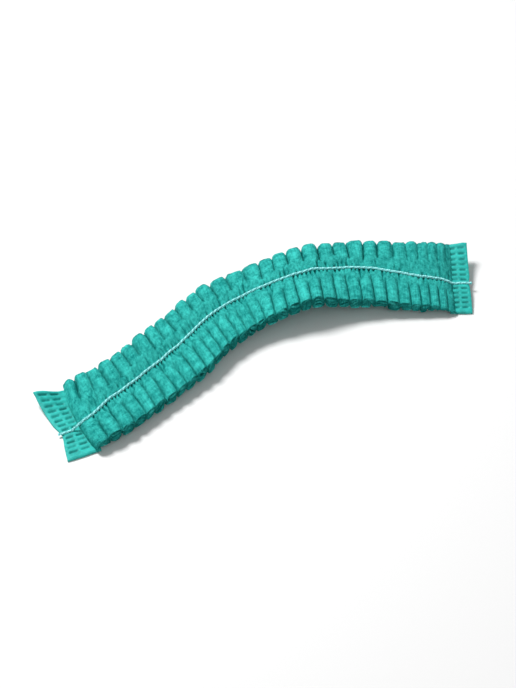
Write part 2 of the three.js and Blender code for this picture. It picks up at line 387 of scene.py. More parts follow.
def non_woven_fabric():
    """Spun fibres bonded at small points, matte and slightly translucent, with painted shade in
    the creases.
    """
    material, nodes = new_material("non_woven_fabric")
    flat = nodes.add("ShaderNodeTexCoord", output="UV")
    x, y, _ = nodes.split(flat)
    bond_pitch = 1.5 * mm
    turn = 2 * math.pi / bond_pitch
    lattice = nodes.math("SINE", (x + y) * turn) * nodes.math("SINE", (x - y) * turn)
    bond = nodes.smooth(lattice, 0.35, 0.9)
    clouds = nodes.ripple(flat, 420.0, 3.0)
    fibres = nodes.ripple(flat, 1700.0, 2.0)
    patches = nodes.ripple(flat, 130.0, 2.0)
    # Painted shade: the crease attribute darkens the cloth towards deep in rib creases, pucker
    # notches and the inner pleats; clouds, fibres, patches and bonds are the cloth's own mottling.
    crease = nodes.add("ShaderNodeAttribute", {"attribute_name": "crease"}, output="Fac")
    light = (0.060, 0.68, 0.61, 1)
    deep = (0.001, 0.21, 0.195, 1)
    mottle_and_crease_shade = clouds * 0.95 + fibres * 0.65 + patches * 0.6 - bond * 0.3 - crease * 0.75
    share = nodes.smooth(mottle_and_crease_shade, -0.9, 0.75)
    colour = colour_mix(nodes, share, deep, light)
    height = fibres * 0.5 + clouds * 0.6 - bond * 0.5
    bump = nodes.add(
        "ShaderNodeBump",
        inputs={"Strength": 0.9, "Distance": 0.45 * mm, "Height": height},
    )
    fibre = nodes.add(
        "ShaderNodeBsdfPrincipled",
        inputs={
            "Base Color": colour,
            "Roughness": 0.78,
            "Specular IOR Level": 0.05,
            "Normal": bump,
        },
    )
    through = nodes.add("ShaderNodeBsdfTranslucent", inputs={"Color": colour, "Normal": bump})
    cloth = nodes.add("ShaderNodeMixShader", inputs={0: 0.14, 1: fibre, 2: through})
    finish_material(nodes, cloth)
    return material


def welded_fabric():
    """The same fibres fused and pressed: smoother, with painted shade darkening the dents."""
    material, nodes = new_material("welded_fabric")
    place = nodes.add("ShaderNodeTexCoord", output="Object")
    clouds = nodes.ripple(place, 300.0, 3.0)
    fibres = nodes.ripple(place, 1700.0, 2.0)
    pressed = nodes.add("ShaderNodeAttribute", {"attribute_name": "pressed"}, output="Fac")
    light = (0.025, 0.51, 0.455, 1)
    deep = (0.002, 0.18, 0.165, 1)
    # Painted shade: the dents darken towards deep; clouds and fibres are the fused cloth's own
    # mottling.
    share = nodes.smooth(clouds * 0.7 + fibres * 0.5 - pressed * 0.9, -1.1, 0.6)
    colour = colour_mix(nodes, share, deep, light)
    bump = nodes.add(
        "ShaderNodeBump",
        inputs={"Strength": 0.3, "Distance": 0.12 * mm, "Height": fibres * 0.5 + clouds * 0.4},
    )
    fused = nodes.add(
        "ShaderNodeBsdfPrincipled",
        inputs={
            "Base Color": colour,
            "Roughness": 0.6 - pressed * 0.15,
            "Specular IOR Level": 0.25,
            "Normal": bump,
        },
    )
    finish_material(nodes, fused)
    return material


def elastic_thread():
    """White twisted thread with fine strands along each ply, painted darker and lighter in turn
    along its twist.
    """
    material, nodes = new_material("elastic_thread")
    run = nodes.add("ShaderNodeAttribute", {"attribute_name": "run"}, output="Fac")
    around = nodes.add("ShaderNodeAttribute", {"attribute_name": "around"}, output="Fac")
    strands = nodes.math("SINE", around * (12 * math.pi) + run * 5000.0) * 0.5 + 0.5
    fuzz = nodes.ripple(nodes.add("ShaderNodeTexCoord", output="Object"), 2600.0, 2.0)
    # Painted shade and highlight: the colour darkens and lightens twice every twist, standing in
    # for the shade in the grooves where the plies cross and the light on their crests.
    twist_shade = nodes.math("SINE", run * (4 * math.pi / THREAD_SIZES["Twist Length"])) * 0.5 + 0.5
    share = nodes.smooth(strands * 0.2 + fuzz * 0.3 + twist_shade * 0.9, 0.1, 0.9)
    colour = colour_mix(nodes, share, (0.11, 0.50, 0.50, 1), (0.40, 0.97, 0.98, 1))
    bump = nodes.add(
        "ShaderNodeBump",
        inputs={"Strength": 0.5, "Distance": 0.08 * mm, "Height": strands + fuzz * 0.5},
    )
    thread = nodes.add(
        "ShaderNodeBsdfPrincipled",
        inputs={"Base Color": colour, "Roughness": 0.7, "Sheen Weight": 0.2, "Normal": bump},
    )
    finish_material(nodes, thread)
    return material


def floor_material():
    material, nodes = new_material("pale_floor")
    plain = {"Base Color": (0.80, 0.80, 0.80, 1), "Roughness": 0.85, "Specular IOR Level": 0.2}
    finish_material(nodes, nodes.add("ShaderNodeBsdfPrincipled", inputs=plain))
    return material


# ---- The gathered web --------------------------------------------------------------------------

WAY_SIZES = {
    "Strip Length": STRIP_LENGTH,
    "Half Width": PLEAT_WIDTH / 2,
    "Left Curl": CURL["left"],
    "Right Curl": CURL["right"],
    "Left Rim Curl": RIM_CURL["left"],
    "Right Rim Curl": RIM_CURL["right"],
}

# The least that a pucker reaches, as a share of Pucker Reach. The unseen lowest pleat has its own,
# and no Left Slack, only so that its area comes to 0.7 of its flat cut.
LEAST_PUCKER = {"upper": 0.22, "lower": 0.5}

GATHER_SIZES = {
    **WAY_SIZES,
    "Flat Length": FLAT_LENGTH,
    "Gather Start": WELD_FLAT["left"],
    "Gather End": STRIP_LENGTH - WELD_FLAT["right"],
    "Left Opening": OPENING["left"],
    "Right Opening": OPENING["right"],
    "Stack Height": STACK_HEIGHT,
    "End Height": END_HEIGHT,
    "End Rise": END_RISE,
    "Ribs": 30.0,
    "Extra Ribs": 2.6,
    "Left Slack": 0.13,
    "Closed Stack": 1.5 * mm,
    "Rib Depth": 4.2 * mm,
    "Rib Pillow": 0.6 * mm,
    "Rib Tilt": 1.4 * mm,
    "Rib Squareness": 0.47,
    "Puckers": 104.0,
    "Pucker Depth": 1.5 * mm,
    "Pucker Reach": 12.0 * mm,
    "Elastic Valley": VALLEY,
    "Crest Drop": CREST_DROP,
    "Valley Width": 4.5 * mm,
    "Edge Drop": 1.0 * mm,
    "Scallop": 2.3 * mm,
    "Rib Reach Spread": 1.0 * mm,
    "Nose": NOSE,
    "Left Bow": 3.2 * mm,
    "Right Bow": 1.2 * mm,
    "Wrinkle": 0.31 * mm,
    "Ruffle": 0.27,
    "Ruffle Length": 4.8 * mm,
    "Recede": 1.6 * mm,
    "Left Slim": 2.6 * mm,
    "Right Slim": 1.3 * mm,
    "Floor Gap": CLOTH / 2,
    "Fold Bulge": 0.5 * mm,
    "Fold Wander": 1.6 * mm,
    "Seed": SEED,
}


def outer_surface(nodes, sizes, along, across, offset, fold_side):
    """The ribs and puckers of one outer pleat. along is the share of the gathered length and
    across goes from -1 to 1; fold_side is the sign of across at its fold, and its cut edge is
    on the other side. Gives the depth below the crests, the shift along the strip and the
    change of reach, all in metres, and how much of a crease is here, from 0 to 1, which the fabric
    paints as shade."""
    seed = sizes["Seed"] + offset
    ribs = sizes["Ribs"]
    pitch = (sizes["Gather End"] - sizes["Gather Start"]) / ribs
    out = abs(across)
    left = nodes.math("GREATER_THAN", across, 0.0)
    lane = seed + left * 37.0

    warp = nodes.ripple(nodes.xyz(along * 9.0, out * 0.5, lane), 1.0, 1.0) * 0.25
    lean = nodes.ripple(nodes.xyz(along * 13.0, 3.0, lane), 1.0) * 0.3 * out
    closer = along * along * sizes["Extra Ribs"] + nodes.smooth(along, 0.87, 1.0) * 1.6
    slack = left * sizes["Left Slack"] * (fold_side > 0)
    count = along * ribs * (1 - slack) + closer + warp + lean + left * 0.43
    crease = nodes.math("FLOOR", count + 0.5)
    rib = nodes.math("FLOOR", count)
    side = count - crease
    distance = abs(side) * 2.0
    sign = nodes.math("SIGN", side)

    angle = distance * (math.pi / 2)
    power = sizes["Rib Squareness"]
    rise = nodes.math("SINE", angle) ** power
    shift_share = 1 - nodes.math("MAXIMUM", nodes.math("COSINE", angle), 0.0) ** power
    luck = nodes.chance(crease, lane)
    second_luck = nodes.chance(crease, lane + 5.0)
    third_luck = nodes.chance(crease, lane + 11.0)
    begin = luck * 0.24 + nodes.between(left, 0.08, 0.16)
    strength = nodes.smooth(out, begin, begin + 0.24)
    short = nodes.math("GREATER_THAN", third_luck, 0.9)
    strength = strength * (second_luck * 0.14 + 0.86) * (1 - short * 0.4)

    folded = nodes.math("GREATER_THAN", across * fold_side, 0.0)
    cut_edge = (1 - folded) * nodes.smooth(out, 0.8, 1.0)
    weak_end = nodes.smooth(along, 0.76, 0.92) * nodes.between(left, 0.3, 0.7)
    strength = strength * (1 - cut_edge * 0.2) * (1 - weak_end)
    drop = (1 - rise) * strength
    crest_luck = nodes.chance(rib, lane + 23.0) - 0.5
    crest = nodes.math("SINE", angle) ** 2.0
    swell = crest * crest_luck * nodes.smooth(out, 0.15, 0.5)
    along_shift = sign * (shift_share - distance) * 0.5 * strength * pitch
    tilt = drop * (second_luck - 0.35) * 0.9 * mm
    bright = nodes.math("SINE", angle)
    slope = (count - rib - 0.5) * bright * (nodes.chance(rib, lane + 47.0) - 0.4) * strength
    pillow = (1 - bright) * strength * sizes["Rib Pillow"] - slope * sizes["Rib Tilt"]

    uneven = nodes.ripple(nodes.xyz(along * 21.0, out, lane), 1.0) * 0.5
    puckers = along * sizes["Puckers"] + uneven
    pucker = nodes.math("FLOOR", puckers + 0.5)
    apart = abs(puckers - pucker) * 2.0
    pucker_luck = nodes.chance(pucker, lane + 31.0)
    least = LEAST_PUCKER["upper" if fold_side > 0 else "lower"]
    reach = sizes["Pucker Reach"] * (pucker_luck**3.0 + least) / sizes["Half Width"]
    fade = 1 - nodes.smooth(out, reach * 0.15, reach)
    narrow = 0.35 + fade * 0.45
    notch = 1 - nodes.smooth(apart, 0.0, narrow)
    pucker_share = nodes.smooth(nodes.chance(pucker, lane + 53.0), 0.08, 0.5)
    notch_depth = notch * fade * sizes["Pucker Depth"] * pucker_share

    spread = out * sizes["Half Width"] / sizes["Valley Width"]
    valley = sizes["Elastic Valley"] * nodes.math("EXPONENT", -(spread * spread))
    edge = nodes.smooth(out, 0.86, 1.0) ** 1.5 * sizes["Edge Drop"] * (0.35 + folded * 0.65)
    fine = nodes.xyz(along * 260.0, out * 14.0, lane)
    wrinkle = nodes.ripple(fine, 1.0, 2.0) * sizes["Wrinkle"]
    sway = nodes.ripple(nodes.xyz(along * 16.0, out * 1.3, lane + 3.0), 1.0) * 0.3 * mm
    sway = sway * nodes.smooth(out, 0.05, 0.35)

    depth = (
        sizes["Rib Depth"] * drop
        - swell * 0.8 * mm
        + pillow
        + notch_depth
        + valley
        + edge
        + wrinkle
        + sway
        + sizes["Crest Drop"]
    )
    tip_luck = nodes.chance(rib, lane + 41.0) - 0.5
    change = crest * tip_luck * 2.0 * sizes["Rib Reach Spread"] - drop * sizes["Scallop"]
    change = change * (0.35 + folded * 0.65) * nodes.smooth(out, 0.55, 1.0)
    # Painted shade: the share of darkening in the ribs' creases and the puckers' notches.
    crease_shade = nodes.math("MAXIMUM", drop, notch * fade * pucker_share)
    return depth, along_shift + tilt, change, crease_shade


def read_way(nodes, sizes, s, name, kind):
    """What the way carries under a name at s, as an output of the node that samples it."""
    info = nodes.add("GeometryNodeObjectInfo", inputs={"Object": sizes["Way"]})
    way = nodes.add("GeometryNodeMeshToCurve", inputs={"Mesh": info.output("Geometry")})
    carried = nodes.add("GeometryNodeInputNamedAttribute", {"data_type": kind}, {"Name": name})
    return nodes.add(
        "GeometryNodeSampleCurve",
        {"mode": "LENGTH", "use_all_curves": True, "data_type": kind},
        {"Curves": way, "Length": nodes.math("MAXIMUM", s, 0.0), "Value": carried},
    )


def on_way(nodes, sizes, s, v, height):
    """The place at s on the strip's way, at v across it and at a height over the strip's base.
    Towards the ends the left side curls up, and at the corners most of all."""
    from_end = sizes["Strip Length"] - s
    left_end = 1 - nodes.smooth(s, 8 * mm, 40 * mm)
    right_end = 1 - nodes.smooth(from_end, 12 * mm, 36 * mm)
    left_rim = 1 - nodes.smooth(s, 0.0, 14 * mm)
    right_rim = 1 - nodes.smooth(from_end, 0.0, 12 * mm)
    curl = left_end * sizes["Left Curl"] + right_end * sizes["Right Curl"]
    curl = curl + left_rim * sizes["Left Rim Curl"] + right_rim * sizes["Right Rim Curl"]
    curl = curl * (nodes.math("MAXIMUM", v, 0.0) / sizes["Half Width"]) ** 2.0
    point = read_way(nodes, sizes, s, "to_side", "FLOAT_VECTOR")
    roll = read_way(nodes, sizes, s, "roll", "FLOAT")
    lift = read_way(nodes, sizes, s, "lift", "FLOAT")
    sideways = v * nodes.math("COSINE", roll) - height * nodes.math("SINE", roll)
    upwards = v * nodes.math("SINE", roll) + height * nodes.math("COSINE", roll)
    top = nodes.math("MAXIMUM", lift + upwards + curl, sizes["Floor Gap"])
    tangent = nodes.vector("NORMALIZE", point.output("Tangent"))
    side = nodes.vector("NORMALIZE", point)
    before = nodes.math("MINIMUM", s, 0.0)
    offset = nodes.vector("ADD", scaled(nodes, side, sideways), scaled(nodes, tangent, before))
    base = nodes.vector("ADD", point.output("Position"), offset)
    return nodes.vector("ADD", base, nodes.xyz(0.0, 0.0, top))


def scaled(nodes, vector, size):
    settings = {"operation": "SCALE"}
    return nodes.add("ShaderNodeVectorMath", settings, {0: vector, "Scale": size})


def gathers_tree(material):
    """Gathers the flat pleated web into ribs and lays it along the strip's way. A point of the
    flat web has x along the web, y across the strip, and z from 0 on the topmost pleat to 1 on
    the lowest."""
    nodes, sizes = geometry_tree("Gathers", GATHER_SIZES, [("Way", "NodeSocketObject")])
    here = nodes.add("GeometryNodeInputPosition")
    x, y, level = nodes.split(here)
    along = x / sizes["Flat Length"]
    across = nodes.math("MINIMUM", nodes.math("MAXIMUM", y / sizes["Half Width"], -1.0), 1.0)
    length = sizes["Gather End"] - sizes["Gather Start"]

    top = outer_surface(nodes, sizes, along, across, 0.0, 1.0)
    low = outer_surface(nodes, sizes, along, across, 100.0, -1.0)
    from_start = along * length
    from_end = (1 - along) * length
    inside = nodes.math(
        "MINIMUM", from_start / sizes["Left Opening"], from_end / sizes["Right Opening"]
    )
    closed = 1 - nodes.math("MINIMUM", nodes.math("MAXIMUM", inside, 0.0), 1.0)
    opened = 1 - closed * closed
    half = (sizes["End Height"] + (sizes["Stack Height"] - sizes["End Height"]) * opened) / 2
    ribbed = rib_share(opened)

    high_side = half - top[0] * ribbed
    low_side = low[0] * ribbed - half
    centre = (high_side + low_side) / 2
    least = sizes["Closed Stack"] * opened + 0.3 * mm
    apart = nodes.math("SMOOTH_MAX", (high_side - low_side) / 2, least / 2, 0.3 * mm)
    high_side = centre + apart
    low_side = centre - apart
    inner = level * (1 - level) * 4.0
    flow = nodes.xyz(along * 31.0, across * 0.9, level * 1.1)
    phase = along * length / sizes["Ruffle Length"] + nodes.ripple(flow, 1.0, 1.0) * 0.8
    ruffled = level + nodes.math("SINE", phase * (2 * math.pi)) * sizes["Ruffle"] * inner
    raised = nodes.between(ruffled, high_side, low_side)

    shift = nodes.between(level, top[1], low[1]) * opened
    nose = opened * (1 - opened) * 4.0 * (1 - level) * sizes["Nose"]
    on_left = nodes.math("GREATER_THAN", across, 0.0)
    bow = across * across * nodes.between(on_left, sizes["Right Bow"], sizes["Left Bow"])
    bow = bow * (1 - nodes.smooth(from_start, 0.0, 24 * mm))
    nose = nose * nodes.between(nodes.math("GREATER_THAN", along, 0.5), -1.0, 1.0)
    s = sizes["Gather Start"] + from_start + shift + nose + bow
    folds = nodes.xyz(along * length / (4.2 * mm), level * 40.0, sizes["Seed"])
    wander = nodes.ripple(folds, 1.0, 1.0) * sizes["Fold Wander"] * nodes.smooth(inner, 0.0, 0.3)
    reach = nodes.between(level, top[2], low[2]) * (1 - nodes.smooth(inner, 0.1, 0.6) * 0.6)
    outward = (reach + wander * nodes.smooth(abs(across), 0.5, 1.0)) * ribbed
    right_edge = nodes.smooth(-across, 0.5, 1.0)
    late = nodes.smooth(along, 0.76, 0.86) * (1 - nodes.smooth(along, 0.95, 1.0) * 0.6)
    early = nodes.smooth(along, 0.0, 0.06) * (1 - nodes.smooth(along, 0.2, 0.34))
    narrower = nodes.between(on_left, early * sizes["Right Slim"], late * sizes["Left Slim"])
    outward = outward - narrower * nodes.smooth(abs(across), 0.2, 1.0)
    v = y + nodes.math("SIGN", across) * outward + right_edge * level * sizes["Recede"]
    v = v + read_way(nodes, sizes, s, "elastic_offset", "FLOAT") * (1 - abs(across))

    rise = sizes["End Rise"] * 4.0 * opened * (1 - opened)
    place = on_way(nodes, sizes, s, v, half + rise + raised)
    # Painted shade stored as crease: the outer pleats darken in their creases and the inner pleats
    # by 0.35 throughout.
    crease_shade = nodes.between(level, top[3], low[3]) * (1 - inner) + inner * 0.35
    store = nodes.add(
        "GeometryNodeStoreNamedAttribute",
        {"data_type": "FLOAT", "domain": "POINT"},
        {"Geometry": sizes["Geometry"], "Name": "crease", "Value": crease_shade},
    )
    moved = nodes.add("GeometryNodeSetPosition", inputs={"Geometry": store, "Position": place})
    smooth = nodes.add("GeometryNodeSetShadeSmooth", inputs={"Geometry": moved})
    end_tree(nodes, smooth, material)
    return nodes.tree


# The flat web's faces: along the strip, and across each pleat and each fold.
OUTER_COLUMNS = 620
OUTER_ROWS = 66
INNER_COLUMNS = 350
INNER_ROWS = 10
FOLD_ROWS = 6
FOLD_CLOTH = 0.6 * mm  # the cloth that runs round one fold


def across_pleat(count, fine):
    """Places across one pleat from -1 to 1, closer together at the elastic and at the edges
    where fine is true."""
    places = []
    for i in range(count + 1):
        t = 2 * i / count - 1
        if fine:
            t -= 0.11 * math.sin(2 * math.pi * t) / math.pi
        places.append(t)
    return places


def web_rows(first, last, rows, fine, folds_before, folds_after):
    """Rows of the flat web from one pleat to another, as (across, bulge, level, width), where
    width is how far the cloth has run. Even pleats run to the left, odd ones back."""
    half = PLEAT_WIDTH / 2
    found = []

    def add_fold(pleat, steps):
        side = 1 if pleat % 2 == 0 else -1
        for k in steps:
            turn = math.pi * k / FOLD_ROWS
            level = (pleat + (1 - math.cos(turn)) / 2) / (PLEATS - 1)
            cloth = (pleat + 1) * PLEAT_WIDTH + (k / FOLD_ROWS - 0.5) * FOLD_CLOTH
            found.append((side, side * math.sin(turn), level, cloth))

    if folds_before:
        add_fold(first - 1, range(0, FOLD_ROWS))
    for pleat in range(first, last + 1):
        way = 1 if pleat % 2 == 0 else -1
        for place in across_pleat(rows, fine):
            run = pleat * PLEAT_WIDTH + (place + 1) * half
            found.append((way * place, 0.0, pleat / (PLEATS - 1), run))
        if pleat < last:
            add_fold(pleat, range(1, FOLD_ROWS))
    if folds_after:
        add_fold(last, range(1, FOLD_ROWS + 1))
    return found


def flat_web(name, rows, columns):
    """The web over some rows before it is gathered, with the flat cloth as its UV map."""
    half = PLEAT_WIDTH / 2
    bulge = GATHER_SIZES["Fold Bulge"]
    points = []
    flat = []
    for i in range(columns + 1):
        x = FLAT_LENGTH * i / columns
        for across, out, level, cloth in rows:
            points.append((x, across * half + out * bulge, level))
            flat.append((x, cloth))
    count = len(rows)
    faces = []
    for i in range(columns):
        for k in range(count - 1):
            a = i * count + k
            faces.append((a, a + count, a + count + 1, a + 1))
    mesh = bpy.data.meshes.new(name)
    mesh.from_pydata(points, [], faces)
    layer = mesh.uv_layers.new(name="flat_cloth")
    corners = [flat[loop.vertex_index] for loop in mesh.loops]
    layer.data.foreach_set("uv", [value for uv in corners for value in uv])
    return mesh


def web_piece(name, tree, way, rows, columns):
    base = flat_web(name + "_flat", rows, columns)
    piece = grow(name, base, tree, {"Way": way}, CLOTH)
    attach(piece, "root")
    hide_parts("pleated_web")
    width = rows[-1][3] - rows[0][3]


def pleated_web(material, way):
    tree = gathers_tree(material)
    upper = web_rows(0, 0, OUTER_ROWS, True, False, True)
    inner = web_rows(1, PLEATS - 2, INNER_ROWS, False, False, False)
    lower = web_rows(PLEATS - 1, PLEATS - 1, OUTER_ROWS, True, True, False)
    web_piece("upper_pleat", tree, way, upper, OUTER_COLUMNS)
    web_piece("inner_pleats", tree, way, inner, INNER_COLUMNS)
    web_piece("lower_pleat", tree, way, lower, OUTER_COLUMNS)


# ---- The welded ends ---------------------------------------------------------------------------

WELD_SIZES = {
    **WAY_SIZES,
    "Floor Gap": 0.0,
    "Thickness": WELD_THICKNESS,
    "Dent Length": 4.3 * mm,
    "Dent Width": 1.25 * mm,
    "Dent Depth": 0.65 * mm,
    "Ridge": 0.25 * mm,
    "Dent Pitch": 3.0 * mm,
    "First Row": 2.7 * mm,
    "Dent Margin": 2.2 * mm,
    "Crossing": 0.0,
    "Right Inset": 0.0,
    "Middle Inset": 0.0,
    "Left Inset": 0.0,
    "Dent Rim": 1.3 * mm,
    "Column Gap": 1.2 * mm,
    "Rim Notch": 0.6 * mm,
    "Edge Wave": 0.35 * mm,
    "Edge Round": 0.3 * mm,
    "Unevenness": 0.14 * mm,
    "End": 0.0,
    "Seed": SEED,
}


def box_dent(nodes, away, size, soft):
    """1 within half a size of the middle of a dent and 0 outside it, along one direction."""
    return 1 - nodes.smooth(away, size * 0.5 - soft, size * 0.5 + soft * 0.4)


def end_weld_tree(material):
    """Shapes one welded end from a flat slab, on which x runs inwards from the cut edge, y
    across, and z is 0 on the underside and 1 on top. End is 0 for the left end and 1 for the
    right one. Crossing is the y of the elastic, and the insets say how far in the cut edge lies
    at its corners and at the elastic."""
    nodes, sizes = geometry_tree("End weld", WELD_SIZES, [("Way", "NodeSocketObject")])
    x, y, level = nodes.split(nodes.add("GeometryNodeInputPosition"))
    crossing = sizes["Crossing"]
    from_elastic = y - crossing
    side = nodes.math("SIGN", from_elastic)
    row = (abs(from_elastic) - sizes["First Row"]) / sizes["Dent Pitch"]
    room = sizes["Half Width"] - sizes["Dent Margin"] - sizes["First Row"] - side * crossing
    last_row = nodes.math("FLOOR", room / sizes["Dent Pitch"])
    nearest = nodes.math("FLOOR", row + 0.5)
    nearest = nodes.math("MINIMUM", nodes.math("MAXIMUM", nearest, 0.0), last_row)
    from_row = abs(row - nearest) * sizes["Dent Pitch"]
    step = sizes["Dent Length"] + sizes["Column Gap"]
    column = (x - sizes["Dent Rim"] - sizes["Dent Length"] * 0.5) / step
    which = nodes.math("FLOOR", column + 0.5)
    which = nodes.math("MINIMUM", nodes.math("MAXIMUM", which, 0.0), 1.0)
    from_column = abs(column - which) * step
    luck = nodes.chance(nearest + which * 13.0 + side * 29.0, sizes["End"] + 3.0)
    pressed = box_dent(nodes, from_column, sizes["Dent Length"], 0.8 * mm)
    pressed = pressed * box_dent(nodes, from_row, sizes["Dent Width"], 0.55 * mm)
    pressed = pressed * (luck * 0.5 + 0.5)

    grain = nodes.xyz(x * 190.0, y * 190.0, level * 0.3 + sizes["End"] * 9.0 + sizes["Seed"])
    uneven = nodes.ripple(grain, 1.0, 2.0) * sizes["Unevenness"]
    from_side = sizes["Half Width"] - abs(y)
    rounded = 1 - nodes.smooth(nodes.math("MINIMUM", x, from_side), 0.0, 0.9 * mm)
    valley = nodes.math("EXPONENT", -((from_elastic / (1.3 * mm)) ** 2.0)) * 0.2 * mm
    in_columns = nodes.smooth(x, 0.6 * mm, 2.0 * mm)
    ridge = nodes.smooth(from_row, 0.3 * mm, 1.5 * mm) * in_columns * sizes["Ridge"]
    top = sizes["Thickness"] + uneven + ridge - pressed * sizes["Dent Depth"] - valley
    top = top - rounded * sizes["Edge Round"]
    under = pressed * sizes["Dent Depth"] * 0.25 + rounded * sizes["Edge Round"] * 0.4
    height = nodes.between(level, under, top)

    layers = nodes.ripple(nodes.xyz(y * 260.0, x * 260.0, level * 5.0 + sizes["End"]), 1.0, 1.0)
    along_edge = nodes.xyz(y * 120.0, x * 120.0, sizes["End"] * 5.0 + sizes["Seed"])
    wave = nodes.ripple(along_edge, 1.0, 1.0) * sizes["Edge Wave"] + layers * 0.16 * mm
    notch = nodes.math("EXPONENT", -((from_elastic / (5.5 * mm)) ** 2.0)) * sizes["Rim Notch"]
    edge_share = 1 - nodes.smooth(x, 0.0, 2.5 * mm)
    side_share = 1 - nodes.smooth(from_side, 0.0, 2.5 * mm)
    corner_share = abs(from_elastic) / (sizes["Half Width"] - side * crossing)
    is_left = nodes.math("GREATER_THAN", side, 0.0)
    corner = nodes.between(is_left, sizes["Right Inset"], sizes["Left Inset"])
    inset = nodes.between(corner_share, sizes["Middle Inset"], corner)
    inset = inset * (1 - nodes.smooth(x, 2.0 * mm, 14.0 * mm))
    inwards = x + inset + edge_share * (wave + notch)
    aside = y + nodes.math("SIGN", y) * side_share * (wave - 0.5 * mm)

    right = sizes["End"]
    s = nodes.between(right, inwards, sizes["Strip Length"] - inwards)
    v = nodes.between(right, aside, -aside)
    place = on_way(nodes, sizes, s, v, height)
    # The dents' share, used for smoother fused fibres and for painted shade in the dents.
    store = nodes.add(
        "GeometryNodeStoreNamedAttribute",
        {"data_type": "FLOAT", "domain": "POINT"},
        {"Geometry": sizes["Geometry"], "Name": "pressed", "Value": pressed * level},
    )
    moved = nodes.add("GeometryNodeSetPosition", inputs={"Geometry": store, "Position": place})
    end_tree(nodes, nodes.add("GeometryNodeSetShadeSmooth", inputs={"Geometry": moved}), material)
    return nodes.tree


# The flat slabs' faces: their length along the strip, and how many across it and up the wall.
WELD_FACE = 0.22 * mm
WELD_ROWS = 200
WELD_LAYERS = 5


def flat_slab(name, length, width, columns, rows, layers):
    """A closed slab with a grid on top and underneath and a wall of several layers around it;
    z is 0 underneath and 1 on top."""
    points = []
    faces = []
    for level in (0, 1):
        for i in range(columns + 1):
            for k in range(rows + 1):
                points.append((length * i / columns, width * (k / rows - 0.5), level))
    count = (columns + 1) * (rows + 1)

    def at(i, k):
        return i * (rows + 1) + k

    for i in range(columns):
        for k in range(rows):
            a, b, c, d = at(i, k), at(i + 1, k), at(i + 1, k + 1), at(i, k + 1)
            faces.append((count + a, count + b, count + c, count + d))
            faces.append((d, c, b, a))
    rim = [at(i, 0) for i in range(columns)]
    rim += [at(columns, k) for k in range(rows)]
    rim += [at(i, rows) for i in range(columns, 0, -1)]
    rim += [at(0, k) for k in range(rows, 0, -1)]
    lower = rim
    for layer in range(1, layers + 1):
        if layer < layers:
            upper = list(range(len(points), len(points) + len(rim)))
            points += [(points[r][0], points[r][1], layer / layers) for r in rim]
        else:
            upper = [count + r for r in rim]
        for n in range(len(rim)):
            m = (n + 1) % len(rim)
            faces.append((lower[n], lower[m], upper[m], upper[n]))
        lower = upper
    mesh = bpy.data.meshes.new(name)
    mesh.from_pydata(points, [], faces)
    return mesh


WELDS = {
    "left": {
        "End": 0.0,
        "Crossing": -5.0 * mm,
        "Right Inset": -0.8 * mm,
        "Middle Inset": 2.6 * mm,
        "Left Inset": 0.2 * mm,
    },
    "right": {
        "End": 1.0,
        "Crossing": 2.6 * mm,
        "Right Inset": -0.2 * mm,
        "Middle Inset": -0.2 * mm,
        "Left Inset": 0.5 * mm,
        "Dent Length": 3.3 * mm,
        "Column Gap": 0.9 * mm,
    },
}


def welded_ends(material, way):
    tree = end_weld_tree(material)
    for end, sizes in WELDS.items():
        name = end + "_weld"
        length = WELD_FLAT[end] + WELD_HOLD
        columns = round(length / WELD_FACE)
        base = flat_slab(name + "_flat", length, PLEAT_WIDTH, columns, WELD_ROWS, WELD_LAYERS)
        piece = grow(name, base, tree, {"Way": way, **sizes})
        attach(piece, "root")
        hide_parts(end + "_end_weld")


# ---- The elastics ------------------------------------------------------------------------------

THREAD_SIZES = {
    "Ply Offset": 0.32 * mm,
    "Ply Radius": 0.33 * mm,
    "Twist Length": 2.1 * mm,
    "Step": 0.2 * mm,
    "Strands": 0.04 * mm,
}


